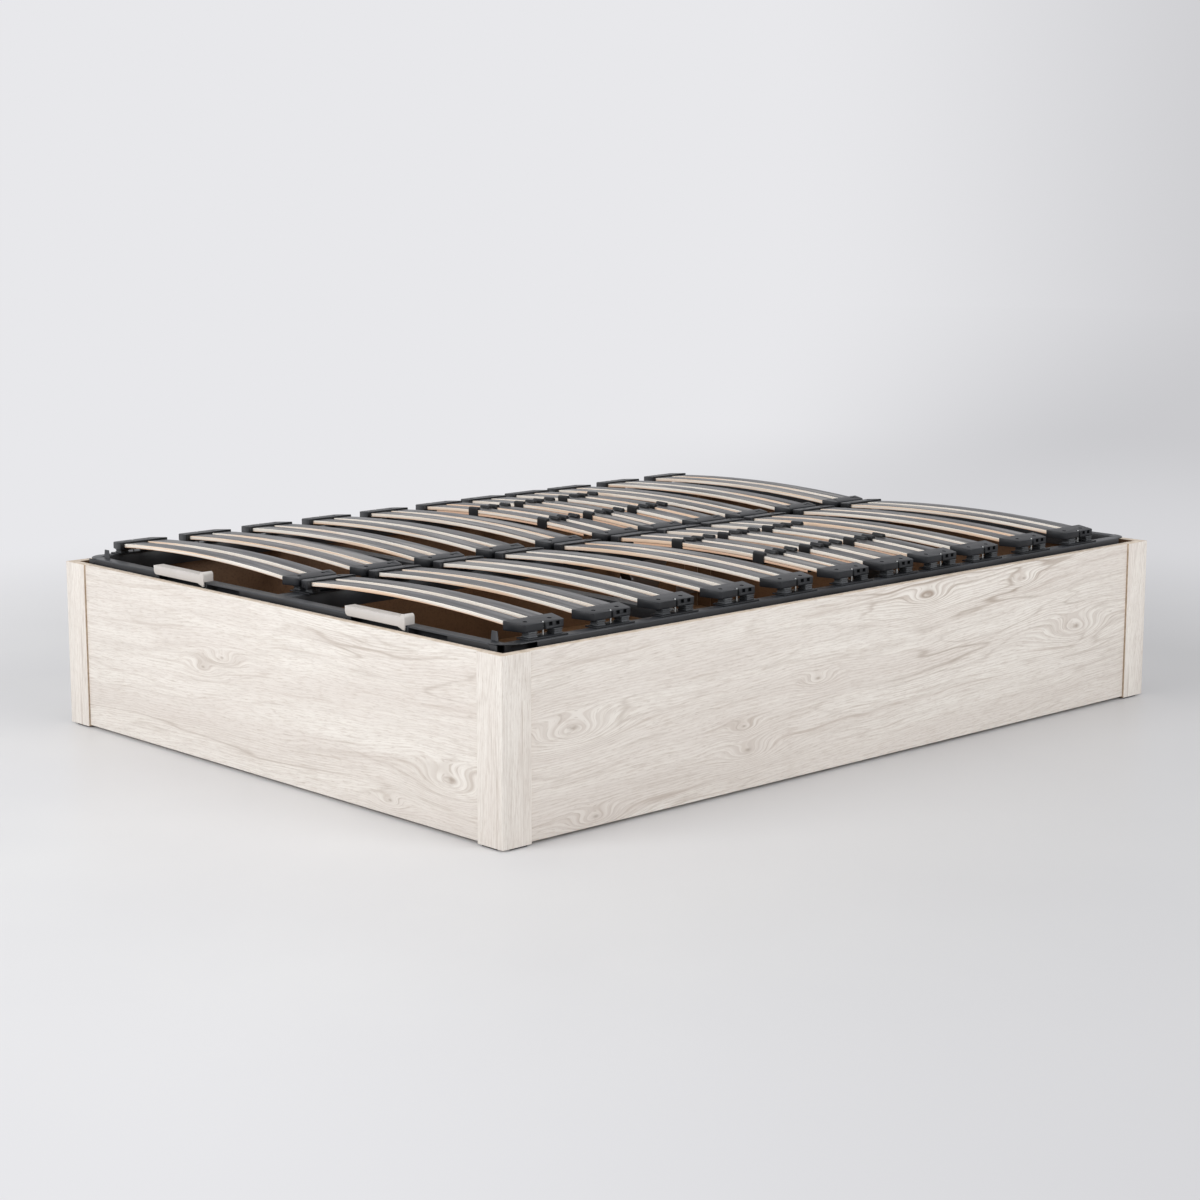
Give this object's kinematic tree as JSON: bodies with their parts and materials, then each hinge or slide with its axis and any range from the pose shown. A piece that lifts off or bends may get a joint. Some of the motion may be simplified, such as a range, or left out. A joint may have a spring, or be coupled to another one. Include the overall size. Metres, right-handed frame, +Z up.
{
  "type": "storage bed base",
  "caption": "Storage bed base: a white-washed oak box on corner posts under a steel platform of sprung slats that lifts from the foot end on gas struts.",
  "frame": {"origin": "on the floor, under the middle of the box", "axes": "+X across the bed, +Y from the foot end with the handles to the head end with the hinge, +Z up"},
  "size_m": [1.4, 1.9, 0.4036],
  "materials": {
    "bleached_oak": "matt white-washed oak decor",
    "brown_hardboard": "smooth hardboard",
    "batten_pine": "planed softwood",
    "glide_black": "moulded",
    "zinc_steel": "zinc plated",
    "buffer_rubber": "matt",
    "anthracite_steel": "satin powder coat",
    "handle_grey": "satin powder coat",
    "holder_anthracite": "moulded, fine grain",
    "spring_rubber": "matt",
    "slat_film": "dark wood-grain film, pale laminated edges",
    "clip_black": "moulded",
    "strut_black": "satin black",
    "rod_chrome": "polished"
  },
  "bodies": {
    "base": {"foot_panel": "bleached_oak", "head_panel": "bleached_oak", "left_side_panel": "bleached_oak", "right_side_panel": "bleached_oak", "foot_left_post": "bleached_oak", "foot_right_post": "bleached_oak", "head_left_post": "bleached_oak", "head_right_post": "bleached_oak", "foot_floor_board": "brown_hardboard", "head_floor_board": "brown_hardboard", "floor_battens": "batten_pine", "floor_glides": "glide_black", "corner_brackets": "zinc_steel", "rest_buffers": "buffer_rubber", "left_lift_plate": "anthracite_steel", "right_lift_plate": "anthracite_steel"},
    "platform": {"foot_rail": "anthracite_steel", "head_rail": "anthracite_steel", "left_side_rail": "anthracite_steel", "right_side_rail": "anthracite_steel", "frame_corners": "anthracite_steel", "centre_beam": "anthracite_steel", "cross_bars": "anthracite_steel", "left_handle": "handle_grey", "right_handle": "handle_grey", "outer_holder_caps": "holder_anthracite", "middle_holder_caps": "holder_anthracite", "holder_bases": "holder_anthracite", "spring_blocks": "spring_rubber", "left_slats": "slat_film", "right_slats": "slat_film", "lumbar_slats": "slat_film"},
    "left_strut_tube": {"left_strut_tube": "strut_black"},
    "left_strut_rod": {"left_strut_rod": "rod_chrome"},
    "right_strut_tube": {"right_strut_tube": "strut_black"},
    "right_strut_rod": {"right_strut_rod": "rod_chrome"},
    "right_outer_clip_1": {"right_outer_clip_1": "clip_black"},
    "right_outer_clip_2": {"right_outer_clip_2": "clip_black"},
    "right_outer_clip_3": {"right_outer_clip_3": "clip_black"},
    "right_outer_clip_4": {"right_outer_clip_4": "clip_black"},
    "right_outer_clip_5": {"right_outer_clip_5": "clip_black"},
    "right_outer_clip_6": {"right_outer_clip_6": "clip_black"},
    "right_inner_clip_1": {"right_inner_clip_1": "clip_black"},
    "right_inner_clip_2": {"right_inner_clip_2": "clip_black"},
    "right_inner_clip_3": {"right_inner_clip_3": "clip_black"},
    "right_inner_clip_4": {"right_inner_clip_4": "clip_black"},
    "right_inner_clip_5": {"right_inner_clip_5": "clip_black"},
    "right_inner_clip_6": {"right_inner_clip_6": "clip_black"},
    "left_outer_clip_1": {"left_outer_clip_1": "clip_black"},
    "left_outer_clip_2": {"left_outer_clip_2": "clip_black"},
    "left_outer_clip_3": {"left_outer_clip_3": "clip_black"},
    "left_outer_clip_4": {"left_outer_clip_4": "clip_black"},
    "left_outer_clip_5": {"left_outer_clip_5": "clip_black"},
    "left_outer_clip_6": {"left_outer_clip_6": "clip_black"},
    "left_inner_clip_1": {"left_inner_clip_1": "clip_black"},
    "left_inner_clip_2": {"left_inner_clip_2": "clip_black"},
    "left_inner_clip_3": {"left_inner_clip_3": "clip_black"},
    "left_inner_clip_4": {"left_inner_clip_4": "clip_black"},
    "left_inner_clip_5": {"left_inner_clip_5": "clip_black"},
    "left_inner_clip_6": {"left_inner_clip_6": "clip_black"}
  },
  "joints": [
    {"name": "platform_lift", "type": "hinge", "parent": "base", "child": "platform", "pos_m": [0, 0.86, 0.336], "axis": [-1, 0, 0], "range_deg": [0, 40]},
    {"name": "left_strut_tube_pivot", "type": "hinge", "parent": "base", "child": "left_strut_tube", "pos_m": [-0.634, 0.65686, 0.07599], "axis": [-1, 0, 0], "range_deg": [0, 20]},
    {"name": "left_strut_rod_pivot", "type": "hinge", "parent": "platform", "child": "left_strut_rod", "pos_m": [-0.634, 0.53005, 0.336], "axis": [-1, 0, 0], "range_deg": [-20, 0]},
    {"name": "right_strut_tube_pivot", "type": "hinge", "parent": "base", "child": "right_strut_tube", "pos_m": [0.634, 0.65686, 0.07599], "axis": [-1, 0, 0], "range_deg": [0, 20]},
    {"name": "right_strut_rod_pivot", "type": "hinge", "parent": "platform", "child": "right_strut_rod", "pos_m": [0.634, 0.53005, 0.336], "axis": [-1, 0, 0], "range_deg": [-20, 0]},
    {"name": "right_outer_clip_1_slide", "type": "hinge", "parent": "platform", "child": "right_outer_clip_1", "pos_m": [0.3285, -0.016, -3.19028], "axis": [0, 1, 0], "range_deg": [-1.2, 1.6]},
    {"name": "right_outer_clip_2_slide", "type": "hinge", "parent": "platform", "child": "right_outer_clip_2", "pos_m": [0.3285, 0.04201, -3.19028], "axis": [0, 1, 0], "range_deg": [-1.2, 1.6]},
    {"name": "right_outer_clip_3_slide", "type": "hinge", "parent": "platform", "child": "right_outer_clip_3", "pos_m": [0.3285, 0.12199, -3.19028], "axis": [0, 1, 0], "range_deg": [-1.2, 1.6]},
    {"name": "right_outer_clip_4_slide", "type": "hinge", "parent": "platform", "child": "right_outer_clip_4", "pos_m": [0.3285, 0.18, -3.19028], "axis": [0, 1, 0], "range_deg": [-1.2, 1.6]},
    {"name": "right_outer_clip_5_slide", "type": "hinge", "parent": "platform", "child": "right_outer_clip_5", "pos_m": [0.3285, 0.25998, -3.19028], "axis": [0, 1, 0], "range_deg": [-1.2, 1.6]},
    {"name": "right_outer_clip_6_slide", "type": "hinge", "parent": "platform", "child": "right_outer_clip_6", "pos_m": [0.3285, 0.31799, -3.19028], "axis": [0, 1, 0], "range_deg": [-1.2, 1.6]},
    {"name": "right_inner_clip_1_slide", "type": "hinge", "parent": "platform", "child": "right_inner_clip_1", "pos_m": [0.3285, -0.016, -3.19028], "axis": [0, 1, 0], "range_deg": [-1.6, 1.2]},
    {"name": "right_inner_clip_2_slide", "type": "hinge", "parent": "platform", "child": "right_inner_clip_2", "pos_m": [0.3285, 0.04201, -3.19028], "axis": [0, 1, 0], "range_deg": [-1.6, 1.2]},
    {"name": "right_inner_clip_3_slide", "type": "hinge", "parent": "platform", "child": "right_inner_clip_3", "pos_m": [0.3285, 0.12199, -3.19028], "axis": [0, 1, 0], "range_deg": [-1.6, 1.2]},
    {"name": "right_inner_clip_4_slide", "type": "hinge", "parent": "platform", "child": "right_inner_clip_4", "pos_m": [0.3285, 0.18, -3.19028], "axis": [0, 1, 0], "range_deg": [-1.6, 1.2]},
    {"name": "right_inner_clip_5_slide", "type": "hinge", "parent": "platform", "child": "right_inner_clip_5", "pos_m": [0.3285, 0.25998, -3.19028], "axis": [0, 1, 0], "range_deg": [-1.6, 1.2]},
    {"name": "right_inner_clip_6_slide", "type": "hinge", "parent": "platform", "child": "right_inner_clip_6", "pos_m": [0.3285, 0.31799, -3.19028], "axis": [0, 1, 0], "range_deg": [-1.6, 1.2]},
    {"name": "left_outer_clip_1_slide", "type": "hinge", "parent": "platform", "child": "left_outer_clip_1", "pos_m": [-0.3285, -0.016, -3.19028], "axis": [0, 1, 0], "range_deg": [-1.6, 1.2]},
    {"name": "left_outer_clip_2_slide", "type": "hinge", "parent": "platform", "child": "left_outer_clip_2", "pos_m": [-0.3285, 0.04201, -3.19028], "axis": [0, 1, 0], "range_deg": [-1.6, 1.2]},
    {"name": "left_outer_clip_3_slide", "type": "hinge", "parent": "platform", "child": "left_outer_clip_3", "pos_m": [-0.3285, 0.12199, -3.19028], "axis": [0, 1, 0], "range_deg": [-1.6, 1.2]},
    {"name": "left_outer_clip_4_slide", "type": "hinge", "parent": "platform", "child": "left_outer_clip_4", "pos_m": [-0.3285, 0.18, -3.19028], "axis": [0, 1, 0], "range_deg": [-1.6, 1.2]},
    {"name": "left_outer_clip_5_slide", "type": "hinge", "parent": "platform", "child": "left_outer_clip_5", "pos_m": [-0.3285, 0.25998, -3.19028], "axis": [0, 1, 0], "range_deg": [-1.6, 1.2]},
    {"name": "left_outer_clip_6_slide", "type": "hinge", "parent": "platform", "child": "left_outer_clip_6", "pos_m": [-0.3285, 0.31799, -3.19028], "axis": [0, 1, 0], "range_deg": [-1.6, 1.2]},
    {"name": "left_inner_clip_1_slide", "type": "hinge", "parent": "platform", "child": "left_inner_clip_1", "pos_m": [-0.3285, -0.016, -3.19028], "axis": [0, 1, 0], "range_deg": [-1.2, 1.6]},
    {"name": "left_inner_clip_2_slide", "type": "hinge", "parent": "platform", "child": "left_inner_clip_2", "pos_m": [-0.3285, 0.04201, -3.19028], "axis": [0, 1, 0], "range_deg": [-1.2, 1.6]},
    {"name": "left_inner_clip_3_slide", "type": "hinge", "parent": "platform", "child": "left_inner_clip_3", "pos_m": [-0.3285, 0.12199, -3.19028], "axis": [0, 1, 0], "range_deg": [-1.2, 1.6]},
    {"name": "left_inner_clip_4_slide", "type": "hinge", "parent": "platform", "child": "left_inner_clip_4", "pos_m": [-0.3285, 0.18, -3.19028], "axis": [0, 1, 0], "range_deg": [-1.2, 1.6]},
    {"name": "left_inner_clip_5_slide", "type": "hinge", "parent": "platform", "child": "left_inner_clip_5", "pos_m": [-0.3285, 0.25998, -3.19028], "axis": [0, 1, 0], "range_deg": [-1.2, 1.6]},
    {"name": "left_inner_clip_6_slide", "type": "hinge", "parent": "platform", "child": "left_inner_clip_6", "pos_m": [-0.3285, 0.31799, -3.19028], "axis": [0, 1, 0], "range_deg": [-1.2, 1.6]}
  ],
  "couplings": [
    {"joint": "left_strut_tube_pivot", "follows": "platform_lift", "ratio": 0.5},
    {"joint": "left_strut_rod_pivot", "follows": "platform_lift", "ratio": -0.5},
    {"joint": "right_strut_tube_pivot", "follows": "platform_lift", "ratio": 0.5},
    {"joint": "right_strut_rod_pivot", "follows": "platform_lift", "ratio": -0.5}
  ]
}
